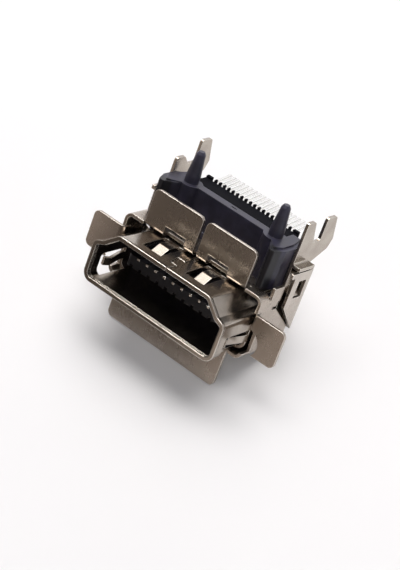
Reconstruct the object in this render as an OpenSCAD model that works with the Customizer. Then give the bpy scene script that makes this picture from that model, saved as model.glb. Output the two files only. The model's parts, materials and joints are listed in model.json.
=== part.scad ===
// Board socket for a 19-way audio-video plug: folded shell, grounding shield, rear cover, moulding, contacts.
// X runs across the mouth, +Y goes into the socket and +Z points to the board.
// The origin is midway between the two locating pegs, on the plane that seats on the board.

/* [Mouth] */
// Inner width of the mouth at its wide side
mouth_w = 14; // [13.6:0.1:14.6]
// Inner width of the mouth at its narrow side
mouth_top_w = 9.86; // [9.4:0.02:10.4]
// Inner height of the mouth
mouth_h = 4.6; // [4.5:0.05:5]
// Height of the upright end walls inside the mouth
shoulder_h = 3.1; // [2.9:0.05:3.2]
// Inner width where the shoulder meets the slope
neck_w = 12.5; // [12.2:0.1:12.8]
// Inner height where the shoulder meets the slope
neck_h = 3.4; // [3.3:0.05:3.6]
// Board seat down to the inner wide face of the mouth
mouth_drop = 9.3; // [9:0.1:11]
// Mouth lip back to the peg axes
lip_to_peg = 7.66; // [7.4:0.02:9]
// How far the rolled lip stands out from the shell
lip_out = 0.1; // [0.05:0.01:0.16]
// Depth of the rolled lip
lip_len = 0.4; // [0.3:0.05:0.6]

/* [Sheet] */
// Thickness of the shell, shield and cover sheet
sheet = 0.3; // [0.25:0.01:0.34]
// Middle-line radius of the folds
fold_r = 0.35; // [0.26:0.01:0.45]

/* [Shell fingers and legs] */
// Centre of a narrow-side finger from the middle
finger_x = 2.44; // [2.3:0.02:2.7]
// Width of a narrow-side finger
finger_w = 1.1; // [0.9:0.05:1.3]
// Room round a finger in its window
finger_room = 0.5; // [0.3:0.02:0.56]
// Lip back to the front of the windows
window_front = 1.3; // [1:0.05:1.5]
// Lip back to the root of the narrow-side fingers
finger_root = 4.6; // [4.4:0.05:5.2]
// How far a finger dips into the mouth
finger_dip = 0.56; // [0.3:0.02:0.7]
// Length of an end window
end_window_len = 3.5; // [3.2:0.05:3.8]
// Height of an end window above the wide face
end_window_h = 1.9; // [1.8:0.05:2]
// Width of an end-wall finger
end_finger_w = 0.75; // [0.5:0.05:0.9]
// Height of an end-wall finger above the wide face
end_finger_h = 1.1; // [1:0.05:1.3]
// Length of the dovetail in the joint line
dovetail_len = 1.45; // [1.2:0.05:1.7]
// Width of the dovetail at its neck
dovetail_w = 0.8; // [0.6:0.05:1]
// Width of the joint line
seam_gap = 0.1; // [0.05:0.01:0.12]
// Height of the legs above the board seat
leg_h = 2.5; // [1.6:0.02:3]
// Height of the short front leg above the board seat
short_leg_h = 1.16; // [0.8:0.02:1.6]
// Width of the front leg at its top
front_leg_w = 1.15; // [1:0.05:1.4]
// Width of the rear leg at its top
rear_leg_w = 1.45; // [1:0.05:1.8]
// Pegs back to the front leg's front edge
leg_front = 0.2; // [0.16:0.02:0.5]
// Middle to middle of the front and rear legs
leg_pitch = 3.25; // [3.1:0.05:3.8]

/* [Shield] */
// Lip back to the face of the grounding flaps
flange_back = 4.1; // [3.9:0.05:4.3]
// Room between the shell and the shield's end walls
shield_end_room = 0.17; // [0.1:0.01:0.25]
// Room between the shell and the shield's roof
shield_roof_room = 0.17; // [0.1:0.01:0.25]
// Room between the shell and the shield's floor
shield_floor_room = 0.2; // [0.1:0.01:0.3]
// Outer corner radius of the shield
shield_corner = 0.75; // [0.5:0.05:0.9]
// Depth of the shield's roof behind the flaps' face
shield_len = 2.95; // [2.6:0.05:3.1]
// Width of one board-side flap
up_flap_w = 5.51; // [5:0.01:6]
// Height of a board-side flap above the shield
up_flap_h = 3.38; // [2:0.02:3.6]
// Gap between the two board-side flaps
up_flap_gap = 0.44; // [0.3:0.02:0.8]
// Reach of an end flap beyond the shield
end_flap_len = 3.15; // [2:0.05:4]
// Width of an end flap
end_flap_w = 3.53; // [3:0.01:3.8]
// Wide face of the mouth up to the end flap's lower edge
end_flap_low = 0.26; // [0.1:0.02:0.4]
// Width of the wide-side flap
low_flap_w = 12.48; // [10:0.02:13]
// Height of the wide-side flap below the shield
low_flap_h = 3.6; // [2:0.05:5]
// Corner radius of the flaps
flap_corner = 0.5; // [0.2:0.05:0.6]
// Width of the notch at a board-side flap's foot
notch_w = 2.3; // [1.8:0.05:2.6]
// Height of the notch at a board-side flap's foot
notch_h = 0.74; // [0.4:0.02:0.9]
// Height of the tab beside one end of the moulding
tab_h = 0.7; // [0.4:0.05:0.9]

/* [Rear cover] */
// Pegs back to the outer face of the back plate
cover_back = 2.96; // [2.9:0.02:3.1]
// Room between the shield and the cover's wings
cover_room = 0.03; // [0.02:0.01:0.1]
// Board seat down to the top of the cover
cover_drop = 1.95; // [1.85:0.05:2.2]
// Length of a wing
wing_len = 2.9; // [2.7:0.05:3]
// Height of a wing's upright front edge
wing_edge_h = 3.5; // [3.2:0.05:4]
// Reach of the hook at a wing's top front corner
hook_len = 0.6; // [0.3:0.05:0.7]
// Height of the latch window in a wing
latch_h = 1.74; // [1.4:0.02:2]
// Width of the latch window in a wing
latch_w = 1.2; // [0.9:0.02:1.3]

/* [Housing] */
// Distance between the locating pegs
peg_span = 9.56; // [9.4:0.02:9.8]
// Radius of a locating peg at the board
peg_r = 0.66; // [0.6:0.02:0.8]
// Radius of a locating peg at its tip
peg_tip_r = 0.38; // [0.3:0.02:0.5]
// Length of a locating peg
peg_h = 3; // [2:0.05:3.3]
// Straight length of a locating peg at the board
peg_straight = 0.7; // [0.6:0.05:1.4]
// Radius of the boss round a peg
boss_r = 1.1; // [0.95:0.05:1.2]
// Pegs forward to the nose of the end blocks
block_front = 2.45; // [2.2:0.05:2.5]
// Middle to the inner corner of an end block's nose
nose_x = 6; // [5.9:0.05:6.1]
// Width of an end block's nose
nose_w = 0.5; // [0.46:0.02:0.6]
// Pegs forward to where an end block has its full width
block_side = 1.25; // [1:0.05:1.5]
// Width of the low step round an end block's seat pad
pad_inset = 0.42; // [0.3:0.02:0.44]
// Depth of the low step round an end block's seat pad
pad_step = 0.15; // [0.1:0.05:0.3]
// Thickness of the ridge between the pegs
ridge_t = 0.9; // [0.7:0.02:1]
// Room between the moulding and the sheet round it
mould_room = 0.05; // [0.02:0.01:0.1]

/* [Tongue and contacts] */
// Number of contacts
contact_count = 19; // [15:2:19]
// Spacing of neighbouring contacts
contact_pitch = 0.5; // [0.45:0.01:0.52]
// Width of a contact
contact_w = 0.26; // [0.2:0.01:0.28]
// Thickness of a contact
contact_t = 0.2; // [0.14:0.01:0.22]
// Room round a contact in its slot
contact_room = 0.04; // [0.02:0.01:0.06]
// Width of the tongue
tongue_w = 10.3; // [10:0.05:10.8]
// Thickness of the tongue
tongue_t = 1.1; // [1:0.02:1.3]
// Wide face of the mouth up to the tongue
tongue_low = 1.8; // [1.7:0.05:2]
// Lip back to the front of the tongue
tongue_back = 2.45; // [2.2:0.05:2.6]
// Depth of the narrow-side contacts below the tongue's face
upper_sink = 0.05; // [0.02:0.01:0.15]
// Depth of the wide-side contacts below the tongue's face
lower_sink = 0.02; // [0.01:0.01:0.06]
// Wide-side contacts' tips back from the front of the tongue
lower_back = 0.45; // [0.2:0.05:0.6]
// Reach of the tails behind the pegs
tail_reach = 5.8; // [5.2:0.02:6.2]
// Board seat down to the middle of the tails inside the comb
tail_drop = 0.46; // [0.44:0.02:0.6]

/* [Hidden] */
$fn = 48;
arc_steps = 6;
straight = 89.5;                             // half angle from which a corner counts as straight
over = 1;                                    // how far a cut runs past what it cuts
lip_y = -lip_to_peg;
floor_z = -mouth_drop;
roof_z = floor_z + mouth_h;
wall_x = mouth_w / 2;                        // inner face of the end walls
plate_x = wall_x + sheet;                    // outer face of the end walls
root_y = lip_y + finger_root;
window_y = lip_y + window_front;
finger_bend = 0.2;
end_finger_z = floor_z + end_finger_h;
flange_y = lip_y + flange_back;
fold_y = flange_y + sheet / 2;
fold_back = fold_y + 2 * fold_r;             // where the folds run into the flat walls
end_flap_z = floor_z + end_flap_low;
shield_x = plate_x + shield_end_room + sheet;
shield_roof = roof_z + 2 * sheet + shield_roof_room;
shield_floor = floor_z - 2 * sheet - shield_floor_room;
shield_back = flange_y + shield_len;
tube_back = shield_back + sheet / 2;         // the shell's roof ends just behind the shield's
cover_y = cover_back - sheet;                // inner face of the back plate
cover_top = -cover_drop;
cover_low = shield_floor;
wing_x = shield_x + cover_room;              // inner face of the wings
cover_x = wing_x + sheet;
wing_front = cover_back - wing_len;
wing_low = cover_top - wing_edge_h;          // where a wing's front edge starts to slope back
latch_y = (wing_front + cover_back) / 2 - mould_room;
latch_z = wing_low + latch_h;
plate_back = cover_y - sheet / 2;            // the side plates stop short of the back plate
ledge_z = cover_top + sheet / 2;
plug_front = tube_back - 2 * sheet;
plug_back = 0.84;
block_low = shield_roof + mould_room;
inner_x = wall_x - mould_room;
ridge_front = -0.28;
ridge_back = ridge_front + ridge_t;
tongue_z = floor_z + tongue_low;
tongue_y = lip_y + tongue_back;
aligner_x = (contact_count + 2) * contact_pitch / 2;
aligner_front = plug_back + mould_room;
aligner_back = cover_y - mould_room;
shelf_drop = 0.2;                            // the aligner's closed top lies this far below the seat
comb_t = 0.36;
comb_back = cover_back + comb_t;
arm_x = aligner_x + mould_room;
arm_back = 2.1;                              // the housing's arms hold the aligner between them
slot_w = contact_w + 2 * contact_room;
slot_t = contact_t + 2 * contact_room;
contact_bend = 0.25;
upper_z = tongue_z + tongue_t - upper_sink - contact_t / 2;
lower_z = tongue_z + lower_sink + contact_t / 2;
leg_gap = (aligner_back - aligner_front) / 4;
upper_leg_y = aligner_front + leg_gap;
lower_leg_y = aligner_back - leg_gap;
contact_ids = [for (i = [1:contact_count]) str("contact_", i < 10 ? "0" : "", i)];

// Outlines of bent sheet and rounded profiles
function unit(v) = v / norm(v);
function spin(v, a) = [v[0] * cos(a) - v[1] * sin(a), v[0] * sin(a) + v[1] * cos(a)];
function left_normal(a, b) = spin(unit(b - a), 90);
function backwards(pts) = [for (i = [len(pts) - 1:-1:0]) pts[i]];

// Points of the arc that rounds the corner p on the way from a to b; a straight way keeps the point
function corner(a, p, b, r) =
    let (u = unit(a - p), w = unit(b - p), half = acos(max(-1, min(1, u * w))) / 2)
    r <= 0 || half > straight ? [p] :
    let (centre = p + unit(u + w) * r / sin(half), start = p + u * r / tan(half) - centre)
    let (turn = (180 - 2 * half) * (cross(u, w) < 0 ? 1 : -1))
    [for (k = [0:arc_steps]) centre + spin(start, turn * k / arc_steps)];

function rounded(pts, radii) =
    let (n = len(pts))
    [for (i = [0:n - 1]) each corner(pts[(i + n - 1) % n], pts[i], pts[(i + 1) % n], radii[i])];

function grown(pts, d) =
    let (n = len(pts))
    [for (i = [0:n - 1])
        let (m = -left_normal(pts[(i + n - 1) % n], pts[i]), k = -left_normal(pts[i], pts[(i + 1) % n]))
        pts[i] + d * (m + k) / (1 + m * k)];

function bent(path, r) =
    let (n = len(path) - 1)
    concat([path[0]], [for (i = [1:1:n - 1]) each corner(path[i - 1], path[i], path[i + 1], r)], [path[n]]);

function beside(path, d) =
    let (n = len(path) - 1)
    [for (i = [0:n])
        let (m = left_normal(path[max(i - 1, 0)], path[max(i, 1)]))
        let (k = left_normal(path[min(i, n - 1)], path[min(i + 1, n)]))
        path[i] + d * (m + k) / (1 + m * k)];

// Section of a strip of thickness t that follows a path with bends of middle radius r
function strip(path, t, r) =
    let (mid = bent(path, r))
    concat(beside(mid, -t / 2), backwards(beside(mid, t / 2)));

function box_points(x0, y0, x1, y1) = [[x0, y0], [x1, y0], [x1, y1], [x0, y1]];

// The mouth's inner outline, grown by g
mouth_points = [
    [-wall_x, floor_z], [wall_x, floor_z],
    [wall_x, floor_z + shoulder_h], [neck_w / 2, floor_z + neck_h], [mouth_top_w / 2, roof_z],
    [-mouth_top_w / 2, roof_z], [-neck_w / 2, floor_z + neck_h], [-wall_x, floor_z + shoulder_h]
];
mouth_radii = [0.5, 0.5, 0.2, -0.8, 0.3, 0.3, -0.8, 0.2];   // a hollow corner has a negative radius
function mouth_outline(g) = rounded(grown(mouth_points, g), [for (r = mouth_radii) abs(r + g)]);

module along_x(x0, x1) translate([x0, 0, 0]) rotate([90, 0, 90]) linear_extrude(x1 - x0) children();
module along_y(y0, y1) translate([0, y1, 0]) rotate([90, 0, 0]) linear_extrude(y1 - y0) children();
module along_z(z0, z1) translate([0, 0, z0]) linear_extrude(z1 - z0) children();
module both_ends() for (m = [0, 1]) mirror([m, 0, 0]) children();

module mouth_ring(inner, outer) difference() {
    polygon(mouth_outline(outer));
    polygon(mouth_outline(inner));
}

// Rolled lip, built of rings that follow a quarter round and lap over each other
module lip(rings = 3) for (i = [0:rings - 1]) {
    lean = lip_out * cos(90 * i / rings);
    lap = lip_len / rings / 4;
    along_y(lip_y + lip_len * i / rings, lip_y + lip_len * (i + 1) / rings + lap)
        mouth_ring(lean / 3, sheet + lean);
}

// One finger of the narrow wall, from its root forwards: flat, a ramp into the mouth and a turned-up tip
module finger() {
    middle = roof_z + sheet / 2;
    front = window_y + finger_room;
    path = [
        [root_y + sheet, middle], [(root_y + front) / 2, middle],
        [front + sheet, middle - finger_dip], [front, middle - finger_dip * 3 / 4]
    ];
    along_x(finger_x - finger_w / 2, finger_x + finger_w / 2) polygon(strip(path, sheet, finger_bend));
}

module finger_window() {
    reach = finger_w / 2 + finger_room;
    translate([finger_x - reach, window_y, roof_z - over / 2])
        cube([2 * reach, root_y - window_y, sheet + over]);
}

// One finger of an end wall, bowed a little into the mouth
module end_finger() {
    bow = 0.4;
    root = window_y + end_window_len;
    middle = wall_x + sheet / 2;
    tip = window_y + finger_room;
    path = [
        [middle, root + sheet], [middle, root - 2 * sheet],
        [middle - bow, tip + 2 * sheet], [middle - bow / 3, tip]
    ];
    along_z(end_finger_z - end_finger_w / 2, end_finger_z + end_finger_w / 2)
        polygon(strip(path, sheet, finger_bend));
}

// End window, open through the fold to the wide face
module end_window() {
    top = floor_z + end_window_h;
    below = floor_z - sheet - over;
    fold = mouth_radii[0] - mould_room;
    along_x(wall_x - fold, plate_x + over) polygon(rounded(
        box_points(window_y, below, window_y + end_window_len, top), [0, 0, sheet / 2, sheet]));
}

// Dovetail joint line where the folded tube closes
module seam() {
    half = dovetail_w / 2;
    neck = window_y + seam_gap;
    tail = neck + dovetail_len;
    path = [
        [half * 3 / 4, lip_y - over], [half * 3 / 4, neck], [-half, neck + seam_gap],
        [-half * 3 / 2, tail], [half / 2, tail], [half / 2, tube_back + over]
    ];
    along_z(roof_z - over / 2, roof_z + over) polygon(strip(path, seam_gap, 0));
}

// Side plate with its front and rear leg, in the plane of the end wall
module side_plate(front_h) {
    step = 0.36;                             // the notch between the legs stands a little above the seat
    splay = 0.8;
    hip = 0.75;                              // the rear leg widens by this down to the seat
    heel_low = -0.75;
    low = floor_z + shoulder_h / 2;
    front_back = leg_front + front_leg_w;
    rear = leg_front + front_leg_w / 2 + leg_pitch - rear_leg_w / 2;
    rear_back = rear + rear_leg_w;
    outline = [
        [leg_front, low], [plate_back, low], [plate_back, ledge_z], [cover_back, ledge_z],
        [rear_back + hip / 2, heel_low], [rear_back + hip, step / 2], [rear_back, leg_h], [rear, leg_h],
        [rear, step], [front_back + splay, step], [front_back, front_h], [leg_front, front_h]
    ];
    radii = [0, 0, 0, 0.2, 0.5, 0.3, 0.3, 0.3, 0.2, 0.2, 0.3, 0.3];
    along_x(wall_x, plate_x) polygon(rounded(outline, radii));
}

// Ledge that the side plate turns outwards over the top of the cover's wing
module ledge() along_y(leg_front, plate_back) polygon(strip([
    [wall_x + sheet / 2, ledge_z + over], [wall_x + sheet / 2, ledge_z + sheet / 2],
    [cover_x, ledge_z + sheet / 2]], sheet, fold_r));

// Lanced barb of the side plate that holds the cover by its window
module barb() {
    low = latch_z - latch_h / 2 + 2 * mould_room;
    top = low + latch_h / 2;
    half = latch_w / 2 - 2 * mould_room;
    along_y(latch_y - half, latch_y + half) polygon([
        [wall_x + sheet / 2, low], [wing_x + sheet / 2, low], [plate_x, top], [wall_x + sheet / 2, top]
    ]);
}

module inner_shell() color("#9a8f84") union() {
    difference() {
        union() {
            lip();
            along_y(lip_y + lip_len, tube_back) mouth_ring(0, sheet);
            along_y(tube_back, plate_back) intersection() {
                mouth_ring(0, sheet);
                polygon(box_points(-mouth_w, floor_z - over, mouth_w, floor_z + shoulder_h - sheet));
            }
        }
        both_ends() finger_window();
        both_ends() end_window();
        seam();
    }
    both_ends() finger();
    both_ends() end_finger();
    side_plate(leg_h);
    mirror([1, 0, 0]) side_plate(short_leg_h);
    both_ends() barb();
    both_ends() ledge();
}

// Sleeve of the shield before its cut-outs
module sleeve() {
    outer = box_points(-shield_x, shield_floor, shield_x, shield_roof);
    radii = [for (p = outer) shield_corner];
    along_y(flange_y, plate_back) difference() {
        polygon(rounded(outer, radii));
        polygon(rounded(grown(outer, -sheet), [for (r = radii) r - sheet]));
    }
}

// Everything behind the shield's stepped rear edge
module behind_sleeve() {
    edge = shield_back + 0.1;
    slant = 0.4;
    nick_drop = 1.2;
    nick_z = shield_roof - nick_drop;
    nick_h = 0.3;
    nick_len = 0.5;
    low_back = plate_back - sheet / 2;
    low_rise = 2.3;
    along_x(-shield_x - over, shield_x + over) polygon([
        [edge, shield_roof + 2 * over], [edge, shield_roof], [edge - slant, nick_z],
        [edge - slant - nick_len, nick_z], [edge - slant - nick_len, nick_z - nick_h],
        [edge - slant / 2, nick_z - nick_h],
        [low_back, shield_floor + low_rise], [low_back, shield_floor - over],
        [plate_back + over, shield_floor - over], [plate_back + over, shield_roof + 2 * over]
    ]);
}

// Face of a flap, cut out of its folded strip
module flap_face(x0, z0, x1, z1) along_y(flange_y - over, fold_back + over)
    polygon(rounded(box_points(x0, z0, x1, z1), [for (i = [0:3]) flap_corner]));

module up_flap() intersection() {
    side = up_flap_gap / 2 + up_flap_w;
    along_x(up_flap_gap / 2, side) polygon(strip([
        [fold_back + sheet, shield_roof - sheet / 2], [fold_y, shield_roof - sheet / 2],
        [fold_y, shield_roof + up_flap_h]], sheet, fold_r));
    flap_face(up_flap_gap / 2, shield_roof - over, side, shield_roof + up_flap_h);
}

module low_flap() intersection() {
    along_x(-low_flap_w / 2, low_flap_w / 2) polygon(strip([
        [fold_back + sheet, shield_floor + sheet / 2], [fold_y, shield_floor + sheet / 2],
        [fold_y, shield_floor - low_flap_h]], sheet, fold_r));
    flap_face(-low_flap_w / 2, shield_floor - low_flap_h, low_flap_w / 2, shield_floor + over);
}

module end_flap() intersection() {
    along_z(end_flap_z, end_flap_z + end_flap_w) polygon(strip([
        [shield_x - sheet / 2, fold_back + sheet], [shield_x - sheet / 2, fold_y],
        [shield_x + end_flap_len, fold_y]], sheet, fold_r));
    flap_face(shield_x - over, end_flap_z, shield_x + end_flap_len, end_flap_z + end_flap_w);
}

// Room that the folds take out of the sleeve's front edge
module fold_relief() {
    ease = 0.1;
    up = up_flap_gap / 2 + up_flap_w + ease;
    deep = fold_back - flange_y + over;
    translate([-up, flange_y - over, shield_roof - sheet - ease]) cube([2 * up, deep, sheet + over]);
    translate([-low_flap_w / 2 - ease, flange_y - over, shield_floor - over])
        cube([low_flap_w + 2 * ease, deep, sheet + over + ease]);
    both_ends() translate([shield_x - sheet - ease, flange_y - over, end_flap_z - ease])
        cube([sheet + over, deep, end_flap_w + 2 * ease]);
}

// Notch at a board-side flap's foot, over the root of a shell finger
module flap_notch() translate([finger_x - notch_w / 2, flange_y - over, shield_roof - 2 * sheet])
    cube([notch_w, over + fold_back - flange_y, notch_h + 2 * sheet]);

// Round cut at an end flap's foot, beside the end-wall finger
module end_cut() {
    cut_r = 1.25;
    translate([plate_x + sheet, fold_back + sheet, end_finger_z])
        rotate([90, 0, 0]) cylinder(r = cut_r, h = 2 * over);
}

// Tab of one end wall that stands beside the housing, and the slit that frees it from the roof
module end_tab() {
    tab_len = 1.5;
    translate([shield_x - sheet, shield_back + mould_room - tab_len, shield_roof - shield_corner])
        cube([sheet, tab_len, shield_corner + tab_h]);
}
module tab_slit() {
    slit_len = 1.6;
    translate([shield_x - 3 * sheet, shield_back - slit_len, shield_roof - shield_corner])
        cube([2 * sheet, shield_len, shield_corner + over]);
}

module outer_shield() color("#8f8479") difference() {
    union() {
        difference() {
            sleeve();
            fold_relief();
            behind_sleeve();
        }
        both_ends() up_flap();
        both_ends() end_flap();
        low_flap();
        end_tab();
    }
    both_ends() flap_notch();
    both_ends() end_cut();
    tab_slit();
}

// Side view of the cover: hook, upright wing edge, slope down to the back plate and the plate's foot
module cover_side() {
    hook_h = 0.45;
    slope_h = 2.5;
    hook = wing_front - hook_len;
    plate = cover_y - mould_room;
    points = [
        [hook, cover_top], [hook, cover_top - hook_h],
        [wing_front, cover_top - hook_h], [wing_front, wing_low],
        [plate, wing_low - slope_h], [plate, cover_low],
        [cover_back + over, cover_low], [cover_back + over, cover_top]
    ];
    polygon(rounded(points, [0.1, 0.1, 0.2, 0.3, 0, 0, 0, 0]));
}

module rear_cover() color("#b5aca1") {
    foot_x = plate_x - 2 * sheet;
    foot_h = shoulder_h * 2 / 3;
    mid_x = wing_x + sheet / 2;
    mid_y = cover_back - sheet / 2;
    ends = wing_front - hook_len;
    difference() {
        intersection() {
            along_z(cover_low, cover_top) polygon(strip(
                [[mid_x, ends], [mid_x, mid_y], [-mid_x, mid_y], [-mid_x, ends]], sheet, fold_r));
            along_x(-cover_x - over, cover_x + over) cover_side();
        }
        both_ends() translate([foot_x, cover_y - over, cover_low - over])
            cube([cover_x, sheet + 2 * over, foot_h + over]);
        along_x(-cover_x - over, cover_x + over) polygon(box_points(
            latch_y - latch_w / 2, latch_z - latch_h / 2, latch_y + latch_w / 2, latch_z + latch_h / 2));
    }
}

// Plan of an end block: inner side from the peg's boss, tapered nose, outer side, slant behind and arm
module block_plan(inset) {
    slant = inner_x - arm_x;
    rear_x = (arm_x + inner_x) / 2;
    nose_r = (nose_w - inset) / 4;
    polygon(rounded([
        [arm_x, arm_back], [arm_x, 0], [peg_span / 2 + boss_r / 3, -boss_r],
        [nose_x, inset - block_front], [nose_x + nose_w - inset, inset - block_front],
        [inner_x - inset, -block_side], [inner_x - inset, arm_back - slant], [rear_x, arm_back]
    ], [0, 0, 0, nose_r, nose_r, 0.4, 0.4, 0.2]));
}

module peg() {
    tip_len = 0.25;
    tip_round = 0.1;
    translate([peg_span / 2, 0, 0]) rotate_extrude() polygon([
        [0, -peg_r], [peg_r, -peg_r], [peg_r, peg_straight],
        [peg_tip_r + tip_round / 2, peg_h - tip_len], [peg_tip_r - tip_round, peg_h], [0, peg_h]
    ]);
}

// Small nick in the top of the ridge
module ridge_nick() {
    nick = 0.2;
    translate([-1.5 * nick, ridge_back - 2.5 * nick, -nick]) cube([3 * nick, nick, over]);
}

// Middle line of a contact in its own plane, from the tongue's front to the tail's end
function contact_x(i) = (i - (contact_count - 1) / 2) * contact_pitch;
function is_upper(i) = i % 2 == 1;
function contact_path(i) =
    let (z = is_upper(i) ? upper_z : lower_z, leg_y = is_upper(i) ? upper_leg_y : lower_leg_y)
    let (tip = is_upper(i) ? tongue_y : tongue_y + lower_back)
    [[tip, z], [leg_y, z], [leg_y, -tail_drop], [comb_back, -tail_drop], [tail_reach, -contact_t / 2]];

// Channel that a contact runs through
module channel(i) along_x(contact_x(i) - slot_w / 2, contact_x(i) + slot_w / 2)
    polygon(strip(contact_path(i), slot_t, contact_bend));

// Groove in the tongue's face, open to the front
module groove(i) {
    deep = is_upper(i) ? upper_z - slot_t / 2 : tongue_z - over;
    high = is_upper(i) ? upper_sink + slot_t + over : lower_sink + slot_t - contact_room + over;
    translate([contact_x(i) - slot_w / 2, tongue_y - over, deep])
        cube([slot_w, plug_front - tongue_y + over, high]);
}

module housing() color("#26242d") difference() {
    union() {
        along_z(block_low, 0) {
            polygon(box_points(-peg_span / 2, ridge_front, peg_span / 2, ridge_back));
            both_ends() translate([peg_span / 2, 0]) circle(boss_r);
            both_ends() block_plan(pad_inset);
        }
        along_z(block_low, -pad_step) both_ends() block_plan(0);
        along_y(plug_front, plug_back) polygon(mouth_outline(-mould_room));
        along_y(tube_back + mould_room, plug_back)
            polygon(box_points(-inner_x, floor_z + mouth_radii[0], inner_x, block_low + over / 2));
        along_z(tongue_z, tongue_z + tongue_t) polygon(rounded(
            box_points(-tongue_w / 2, tongue_y, tongue_w / 2, plug_front + over / 2), [0.4, 0.4, 0, 0]));
        both_ends() peg();
    }
    for (i = [0:contact_count - 1]) {
        channel(i);
        groove(i);
    }
    ridge_nick();
}

// Block that spaces the upright legs under a closed top, with a comb whose notches let the tails out
module tail_aligner() color("#1f1d26") difference() {
    union() {
        along_z(roof_z + sheet + over, -shelf_drop)
            polygon(box_points(-aligner_x, aligner_front, aligner_x, aligner_back));
        along_z(block_low + over / 2 + mould_room, -shelf_drop)
            polygon(box_points(-aligner_x, ridge_back + mould_room, aligner_x, aligner_back));
        along_z(cover_top + mould_room, -shelf_drop)
            polygon(box_points(-aligner_x, aligner_back - over / 2, aligner_x, comb_back));
        along_z(cover_top + mould_room, 0)
            polygon(box_points(-aligner_x, comb_back - comb_t, aligner_x, comb_back));
    }
    both_ends() translate([peg_span / 2, 0, floor_z])
        cylinder(r = boss_r + mould_room, h = mouth_drop + over);
    for (i = [0:contact_count - 1]) {
        channel(i);
        translate([contact_x(i) - slot_w / 2, comb_back - comb_t, -tail_drop])
            cube([slot_w, comb_t + over, over]);
    }
}

// One contact: beam on the tongue, run through the plug, upright leg and tail that slopes to the board
module contact(i) color("#e3ded2") along_x(contact_x(i) - contact_w / 2, contact_x(i) + contact_w / 2)
    polygon(strip(contact_path(i), contact_t, contact_bend));

inner_shell();
outer_shield();
rear_cover();
housing();
tail_aligner();
for (i = [0:contact_count - 1]) contact(i);
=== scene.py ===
import json
import math

import bpy
from mathutils import Matrix, Vector


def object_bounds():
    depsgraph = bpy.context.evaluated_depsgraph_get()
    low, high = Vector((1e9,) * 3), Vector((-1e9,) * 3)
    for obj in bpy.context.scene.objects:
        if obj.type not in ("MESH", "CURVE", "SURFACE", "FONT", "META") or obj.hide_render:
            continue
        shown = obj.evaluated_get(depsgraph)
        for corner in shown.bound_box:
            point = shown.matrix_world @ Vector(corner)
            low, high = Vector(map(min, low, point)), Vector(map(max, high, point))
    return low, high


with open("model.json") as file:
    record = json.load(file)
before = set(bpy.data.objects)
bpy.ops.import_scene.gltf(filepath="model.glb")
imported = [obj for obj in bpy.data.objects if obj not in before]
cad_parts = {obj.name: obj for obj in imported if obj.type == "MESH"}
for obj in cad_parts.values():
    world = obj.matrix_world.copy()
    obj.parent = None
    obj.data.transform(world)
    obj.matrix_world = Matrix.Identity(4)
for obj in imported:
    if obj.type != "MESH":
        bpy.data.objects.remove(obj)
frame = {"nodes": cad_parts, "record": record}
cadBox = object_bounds()
nodes = frame["nodes"]
centre = (cadBox[0] + cadBox[1]) / 2
print("frame loaded:", len(nodes), "nodes")

mm = 0.001
noiseRoughness = 0.55


class Wire:                                  # a socket that takes part in Python sums
    def __init__(self, tree, socket):
        self.tree = tree
        self.socket = socket

    def make(self, kind, settings=None, inputs=None, out=0):
        node = self.tree.nodes.new(kind)
        for name, value in (settings or {}).items():
            if name == "stops":
                setStops(node.color_ramp, value)
            else:
                setattr(node, name, value)
        for name, value in (inputs or {}).items():
            if isinstance(value, Wire):
                self.tree.links.new(value.socket, node.inputs[name])
            else:
                node.inputs[name].default_value = value
        return Wire(self.tree, node.outputs[out])

    def calc(self, operation, first, second=0.0):
        return self.make("ShaderNodeMath", {"operation": operation}, {0: first, 1: second})

    def __add__(self, other):
        return self.calc("ADD", self, other)

    def __radd__(self, other):
        return self.calc("ADD", other, self)

    def __sub__(self, other):
        return self.calc("SUBTRACT", self, other)

    def __rsub__(self, other):
        return self.calc("SUBTRACT", other, self)

    def __mul__(self, other):
        return self.calc("MULTIPLY", self, other)

    def __rmul__(self, other):
        return self.calc("MULTIPLY", other, self)

    def __truediv__(self, other):
        return self.calc("DIVIDE", self, other)

    def __rtruediv__(self, other):
        return self.calc("DIVIDE", other, self)

    def __abs__(self):
        return self.calc("ABSOLUTE", self)

    def clamp(self):
        return self.make("ShaderNodeClamp", {}, {"Value": self})

    def between(self, start, end):               # 0 at start, 1 at end
        return ((self - start) / (end - start)).clamp()

    def blend(self, first, second):              # colour mix, this wire is the factor
        return self.make("ShaderNodeMix", {"data_type": "RGBA"}, {0: self, 6: first, 7: second}, out=2)

    def ramp(self, stops):
        return self.make("ShaderNodeValToRGB", {"stops": stops}, {0: self})

    def stretched(self, scale):                  # vector times three numbers
        return self.make("ShaderNodeVectorMath", {"operation": "MULTIPLY"}, {0: self, 1: scale})

    def facing(self, other):                     # cosine between two unit vectors
        vectors = {0: self, 1: other}
        return self.make("ShaderNodeVectorMath", {"operation": "DOT_PRODUCT"}, vectors, out="Value")

    def part(self, axis):                        # one of a vector's three numbers
        return self.make("ShaderNodeSeparateXYZ", {}, {0: self}, out=axis)


def setStops(colorRamp, stops):
    while len(colorRamp.elements) < len(stops):
        colorRamp.elements.new(0.5)
    for element, (place, level) in zip(colorRamp.elements, stops):
        element.position = place
        element.color = (level, level, level, 1)


def newMaterial(name):
    material = bpy.data.materials.new(name)
    material.use_nodes = True
    tree = material.node_tree
    tree.nodes.clear()
    output = tree.nodes.new("ShaderNodeOutputMaterial")
    return material, Wire(tree, None), output


def show(shader, output):
    shader.tree.links.new(shader.socket, output.inputs["Surface"])


def placeInMm(wire):                             # object coordinates in millimetres
    return wire.make("ShaderNodeTexCoord", out="Object").stretched((1 / mm, 1 / mm, 1 / mm))


def noise(place, scale, detail):
    return place.make("ShaderNodeTexNoise", {"noise_dimensions": "3D"}, {
        "Vector": place, "Scale": scale, "Detail": detail, "Roughness": noiseRoughness})


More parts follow.
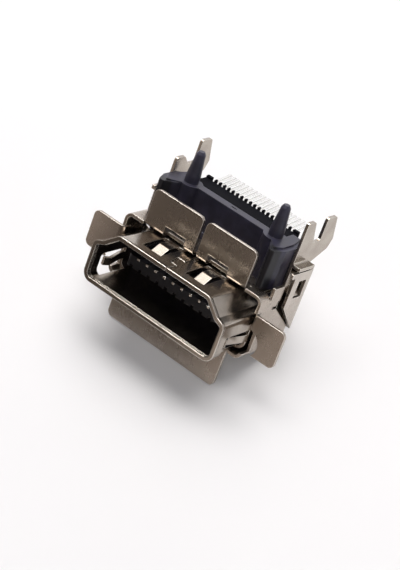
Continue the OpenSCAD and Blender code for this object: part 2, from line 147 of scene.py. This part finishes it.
def rounded(wire, radius, samples):              # normals that run round the edges, radius in millimetres
    return wire.make("ShaderNodeBevel", {"samples": samples}, {"Radius": radius * mm})


# mask of the rounded edges, used for edge wear and for a painted highlight along them
def edgeWearAndHighlight(softened, gain):                        # 0 on flat faces, towards 1 along the rounded edges
    flat = softened.make("ShaderNodeNewGeometry", out="Normal")
    return ((1.0 - softened.facing(flat)) * gain).clamp()


def bumped(height, look, normal):
    return height.make("ShaderNodeBump", {}, {
        "Strength": look["bump"], "Distance": look["bumpDepth"] * mm, "Height": height, "Normal": normal})


# plated sheet: warm nickel with faint rolling lines, cloudy tarnish, and rounded edges painted paler: part
# edge wear, part painted highlight
# edge: a pale colour along rounded edges, part wear and part painted highlight
sheetFinishes = {
    "shell_metal": {"tint": (0.47, 0.425, 0.37, 1), "dull": (0.385, 0.34, 0.295, 1),
                    "edge": (0.95, 0.91, 0.84, 1), "rough": 0.20, "grain": (9, 1.2, 9), "round": 0.08},
    "shield_metal": {"tint": (0.46, 0.405, 0.355, 1), "dull": (0.42, 0.37, 0.32, 1),
                     "edge": (0.88, 0.83, 0.76, 1), "rough": 0.25, "grain": (9, 9, 1.2), "round": 0.10},
    "cover_metal": {"tint": (0.54, 0.49, 0.44, 1), "dull": (0.47, 0.425, 0.38, 1),
                    "edge": (0.90, 0.86, 0.80, 1), "rough": 0.24, "grain": (9, 9, 1.2), "round": 0.10},
}
sheetLook = {
    "cloud": (0.55, 4), "lines": (2.2, 2), "specks": (9.0, 2),             # noise: scale and detail
    "tarnish": [(0.36, 0.0), (0.66, 1.0)], "wearAndHighlight": 3.5, "samples": 16,
    "tarnishRough": 0.05, "lineRough": 0.05, "rubRough": 0.08,
    "lineHeight": 0.7, "speckHeight": 0.3, "bump": 0.02, "bumpDepth": 0.02,
    # lipDim weakens the painted edge highlight on the rolled lip
    "lipStart": -7.2, "lipEnd": -7.25, "lipRound": 0.09, "lipDim": 0.3,    # rolled lip: rounder, less pale
}


def sheetMetal(slot):
    finish, look = sheetFinishes[slot], sheetLook
    material, wire, output = newMaterial(slot)
    place = placeInMm(wire)
    lines = noise(place.stretched(finish["grain"]), *look["lines"])
    specks = noise(place, *look["specks"])
    tarnish = noise(place, *look["cloud"]).ramp(look["tarnish"])
    lip = place.part("Y").between(look["lipStart"], look["lipEnd"])
    edge = rounded(wire, finish["round"] + lip * look["lipRound"], look["samples"])
    # painted highlight and edge wear: pale colour along rounded edges, weaker on the lip
    wearAndHighlight = edgeWearAndHighlight(edge, look["wearAndHighlight"]) * (1.0 - lip * look["lipDim"])
    rough = finish["rough"] + tarnish * look["tarnishRough"]
    rough = rough + (lines - 0.5) * look["lineRough"] + wearAndHighlight * look["rubRough"]
    height = lines * look["lineHeight"] + specks * look["speckHeight"]
    show(wire.make("ShaderNodeBsdfPrincipled", {}, {
        "Base Color": wearAndHighlight.blend(tarnish.blend(finish["tint"], finish["dull"]), finish["edge"]),
        "Metallic": 1.0, "Roughness": rough.clamp(), "Normal": bumped(height, look, edge)}), output)
    return material


# black moulding: slightly violet, satin, with a fine moulded grain; painted shade makes the tongue and the
# wall behind it darker in the mouth, and rounded edges get a painted highlight
# mouth: a painted shade colour for the tongue and the wall behind it; edge: a painted highlight colour
plasticFinishes = {
    "housing_plastic": {"tint": (0.018, 0.017, 0.032, 1), "pale": (0.033, 0.031, 0.058, 1),
                        "edge": (0.075, 0.072, 0.10, 1), "mouth": (0.007, 0.007, 0.011, 1),
                        "rough": 0.40, "shine": 0.5},
    "aligner_plastic": {"tint": (0.003, 0.003, 0.005, 1), "pale": (0.006, 0.006, 0.009, 1),
                        "edge": (0.015, 0.015, 0.02, 1), "mouth": (0.005, 0.005, 0.007, 1),
                        "rough": 0.60, "shine": 0.03},
}
plasticLook = {
    "cloud": (0.8, 4), "grain": (14.0, 2), "patches": [(0.38, 0.0), (0.68, 1.0)],
    "cloudRough": 0.14, "grainRough": 0.08, "ior": 1.5, "round": 0.10, "wearAndHighlight": 2.0, "samples": 8,
    "bump": 0.12, "bumpDepth": 0.02, "mouthShadeStart": -1.6, "mouthShadeEnd": -1.85,
}


def mouldedPlastic(slot):
    finish, look = plasticFinishes[slot], plasticLook
    material, wire, output = newMaterial(slot)
    place = placeInMm(wire)
    cloud = noise(place, *look["cloud"])
    grain = noise(place, *look["grain"])
    edge = rounded(wire, look["round"], look["samples"])
    # painted shade: the colour darkens towards the back of the mouth
    mouthShade = place.part("Y").between(look["mouthShadeStart"], look["mouthShadeEnd"])     # tongue and wall behind it
    colour = cloud.ramp(look["patches"]).blend(finish["tint"], finish["pale"])
    colour = mouthShade.blend(colour, finish["mouth"])
    # paler edges: a painted highlight, left out where the mouth shade is painted
    colour = (edgeWearAndHighlight(edge, look["wearAndHighlight"]) * (1.0 - mouthShade)).blend(colour, finish["edge"])
    rough = finish["rough"] + (cloud - 0.5) * look["cloudRough"] + (grain - 0.5) * look["grainRough"]
    show(wire.make("ShaderNodeBsdfPrincipled", {}, {
        "Base Color": colour, "Roughness": rough.clamp(), "IOR": look["ior"],
        "Specular IOR Level": finish["shine"], "Normal": bumped(grain, look, edge)}), output)
    return material


# contacts: bright tin, a shade warmer in the mouth than on the tails
contactLook = {
    "tail": (0.94, 0.93, 0.90, 1), "tip": (0.94, 0.92, 0.88, 1), "tailStart": 1.5, "tailEnd": 2.6,
    "rough": 0.20, "mottle": (3.0, 3), "mottleRough": 0.2, "round": 0.12, "samples": 8,
    "bump": 0.08, "bumpDepth": 0.02,
}


def contactMetal(slot):
    look = contactLook
    material, wire, output = newMaterial(slot)
    place = placeInMm(wire)
    tail = place.part("Y").between(look["tailStart"], look["tailEnd"])
    mottle = noise(place, *look["mottle"])
    rough = look["rough"] + (mottle - 0.5) * look["mottleRough"]
    edge = rounded(wire, look["round"], look["samples"])
    show(wire.make("ShaderNodeBsdfPrincipled", {}, {
        "Base Color": tail.blend(look["tip"], look["tail"]), "Metallic": 1.0,
        "Roughness": rough.clamp(), "Normal": bumped(mottle, look, edge)}), output)
    return material


finishes = {slot: sheetMetal(slot) for slot in sheetFinishes}
finishes.update({slot: mouldedPlastic(slot) for slot in plasticFinishes})
finishes["contact_metal"] = contactMetal("contact_metal")
slotOf = {part["node"]: part["material_slot"] for part in frame["record"]["subparts"]}
for name, solid in nodes.items():
    solid.data.materials.clear()
    solid.data.materials.append(finishes[slotOf[name]])
print("finishes set on", len(nodes), "nodes")

# the socket lies on the edge of its wide-side flap and on the foot of its rear cover
stageLook = {
    "lean": 29.5, "radius": 90 * mm, "sides": 96, "glow": 0.08,
    "colour": (0.875, 0.865, 0.88, 1), "pale": (0.90, 0.89, 0.90, 1),
    "cloud": (0.03, 2), "patches": [(0.3, 0.0), (0.7, 1.0)],
}
lean = math.radians(stageLook["lean"])
stageUp = Vector((0, -math.sin(lean), math.cos(lean)))
lowest = min(stageUp.dot(vertex.co) for solid in nodes.values() for vertex in solid.data.vertices)


def floorMaterial():
    look = stageLook
    material, wire, output = newMaterial("pale_floor")
    patches = noise(placeInMm(wire), *look["cloud"]).ramp(look["patches"])
    matt = wire.make("ShaderNodeBsdfDiffuse", {}, {"Color": patches.blend(look["colour"], look["pale"])})
    camera, glossy, through = (wire.make("ShaderNodeLightPath", out="Is %s Ray" % ray)
                               for ray in ("Camera", "Glossy", "Transmission"))
    seen = (camera + glossy + through).clamp()
    glow = wire.make("ShaderNodeEmission", {}, {"Color": (1, 1, 1, 1), "Strength": 1.0})
    front = wire.make("ShaderNodeMixShader", {}, {0: seen * look["glow"], 1: matt, 2: glow})
    clear = wire.make("ShaderNodeBsdfTransparent")
    under = wire.make("ShaderNodeNewGeometry", out="Backfacing")      # clear when seen from below
    show(wire.make("ShaderNodeMixShader", {}, {0: under, 1: front, 2: clear}), output)
    return material


def newSheet(name, corners, material):           # one flat face
    mesh = bpy.data.meshes.new(name)
    mesh.from_pydata(corners, [], [list(range(len(corners)))])
    mesh.materials.append(material)
    sheet = bpy.data.objects.new(name, mesh)
    bpy.context.collection.objects.link(sheet)
    return sheet


def makeFloor():
    radius, sides = stageLook["radius"], stageLook["sides"]
    turns = [math.tau * i / sides for i in range(sides)]
    rim = [(math.cos(turn) * radius, math.sin(turn) * radius, 0) for turn in turns]
    floor = newSheet("floor", rim, floorMaterial())
    floor.rotation_euler = (lean, 0, 0)
    floor.location = stageUp * lowest


makeFloor()
print("floor laid under the lowest edge")

# camera: place and axes fitted to the picture, in millimetres in the part's frame
cameraLook = {
    "place": (66.82, -122.35, 57.34),
    "forward": (-0.4336, 0.7956, -0.4230), "right": (0.7485, 0.5794, 0.3225),
    "focalPixels": 1750, "framePixels": (400, 570), "offsetPixels": 5, "sensor": 36, "nearest": 1,
}


def makeCamera():
    look = cameraLook
    data = bpy.data.cameras.new("camera")
    camera = bpy.data.objects.new("camera", data)
    bpy.context.collection.objects.link(camera)
    forward = Vector(look["forward"]).normalized()
    right = Vector(look["right"])
    right = (right - forward * right.dot(forward)).normalized()
    turn = Matrix((right, right.cross(forward), -forward)).transposed()
    camera.matrix_world = Matrix.Translation(Vector(look["place"]) * mm) @ turn.to_4x4()
    longSide = max(look["framePixels"])
    data.sensor_width = look["sensor"]
    data.lens = look["sensor"] * look["focalPixels"] / longSide
    data.shift_x = -look["offsetPixels"] / longSide
    data.clip_start = look["nearest"] * mm
    bpy.context.scene.camera = camera
    return turn


cameraAxes = makeCamera()

# a dark flag at the front left that the flaps mirror, seen only in reflections
flagLook = {
    "way": (-0.43, -0.80, -0.36), "reach": 14 * mm, "size": (84 * mm, 60 * mm),
    "tone": (0.14, 0.118, 0.104, 1), "pale": (0.46, 0.40, 0.365, 1),
    "fadeStart": 5.5, "fadeEnd": 9.0,            # millimetres either side of its middle
}


def flagMaterial():
    look = flagLook
    material, wire, output = newMaterial("flag_reflection_glow")
    # the flag glows dimly and grows paler towards its sides: a painted reflection for the flaps
    fade = abs(placeInMm(wire).part("X")).between(look["fadeStart"], look["fadeEnd"])
    show(wire.make("ShaderNodeEmission", {}, {
        "Color": fade.blend(look["tone"], look["pale"]), "Strength": 1.0}), output)
    return material


def makeFlag():
    wide, high = flagLook["size"]
    corners = [(x * wide / 2, y * high / 2, 0) for x, y in ((-1, -1), (1, -1), (1, 1), (-1, 1))]
    flag = newSheet("flag", corners, flagMaterial())
    way = Vector(flagLook["way"]).normalized()
    side = stageUp.cross(way).normalized()
    turn = Matrix((side, way.cross(side), way)).transposed()
    flag.matrix_world = Matrix.Translation(centre + way * flagLook["reach"]) @ turn.to_4x4()
    flag.visible_camera = False
    flag.visible_diffuse = False
    flag.visible_shadow = False
    flag.visible_transmission = False


makeFlag()

# soft lamps, each placed by a direction (right, up, towards the camera) from the socket
lampReach = 0.60
lamps = {
    "key": {"way": (0.36, 1.0, 0.64), "size": 0.44, "power": 2.62, "colour": (1.0, 0.98, 0.96)},
    "top": {"way": (0.08, 1.0, 0.0), "size": 0.38, "power": 0.58, "colour": (1.0, 0.99, 0.97)},
    "fill": {"way": (-0.18, 0.93, 0.33), "size": 0.26, "power": 0.81, "colour": (1.0, 0.98, 0.96)},
    "sheen": {"way": (-0.22, 0.88, 0.40), "size": 0.36, "power": 1.35, "colour": (1.0, 0.98, 0.95),
              "glossOnly": True},                # drawn only as highlights on edges and folds
    "rim": {"way": (0.25, 0.80, -0.50), "size": 0.45, "power": 0.18, "colour": (0.96, 0.96, 1.0)},
    "front": {"way": (-0.10, 0.20, 1.0), "size": 0.22, "power": 0.29, "colour": (0.97, 0.97, 1.0)},
}


def makeLamp(name):
    look = lamps[name]
    data = bpy.data.lights.new(name, "AREA")
    data.shape = "DISK"
    data.size = look["size"]
    data.energy = look["power"]
    data.color = look["colour"]
    lamp = bpy.data.objects.new(name, data)
    bpy.context.collection.objects.link(lamp)
    way = (cameraAxes @ Vector(look["way"])).normalized()
    lamp.location = centre + way * lampReach
    lamp.visible_diffuse = not look.get("glossOnly", False)
    lamp.rotation_mode = "QUATERNION"
    lamp.rotation_quaternion = (-way).to_track_quat("-Z", "Y")


for name in lamps:
    makeLamp(name)

# pale walls round the floor, a dimmer ceiling over it; the fade is in sines of the angle above the floor
roomLook = {
    "wall": (0.72, 0.72, 0.74, 1), "ceiling": (0.15, 0.15, 0.155, 1), "fadeStart": 0.16, "fadeEnd": 0.42,
}


def makeRoom():
    look = roomLook
    world = bpy.data.worlds.new("studio")
    bpy.context.scene.world = world
    world.use_nodes = True
    tree = world.node_tree
    height = Wire(tree, None).make("ShaderNodeTexCoord", out="Generated").facing(tuple(stageUp))
    colour = height.between(look["fadeStart"], look["fadeEnd"]).blend(look["wall"], look["ceiling"])
    tree.links.new(colour.socket, tree.nodes["Background"].inputs["Color"])


makeRoom()
bpy.context.scene.view_settings.view_transform = "Standard"
print("camera, lamps and world set")
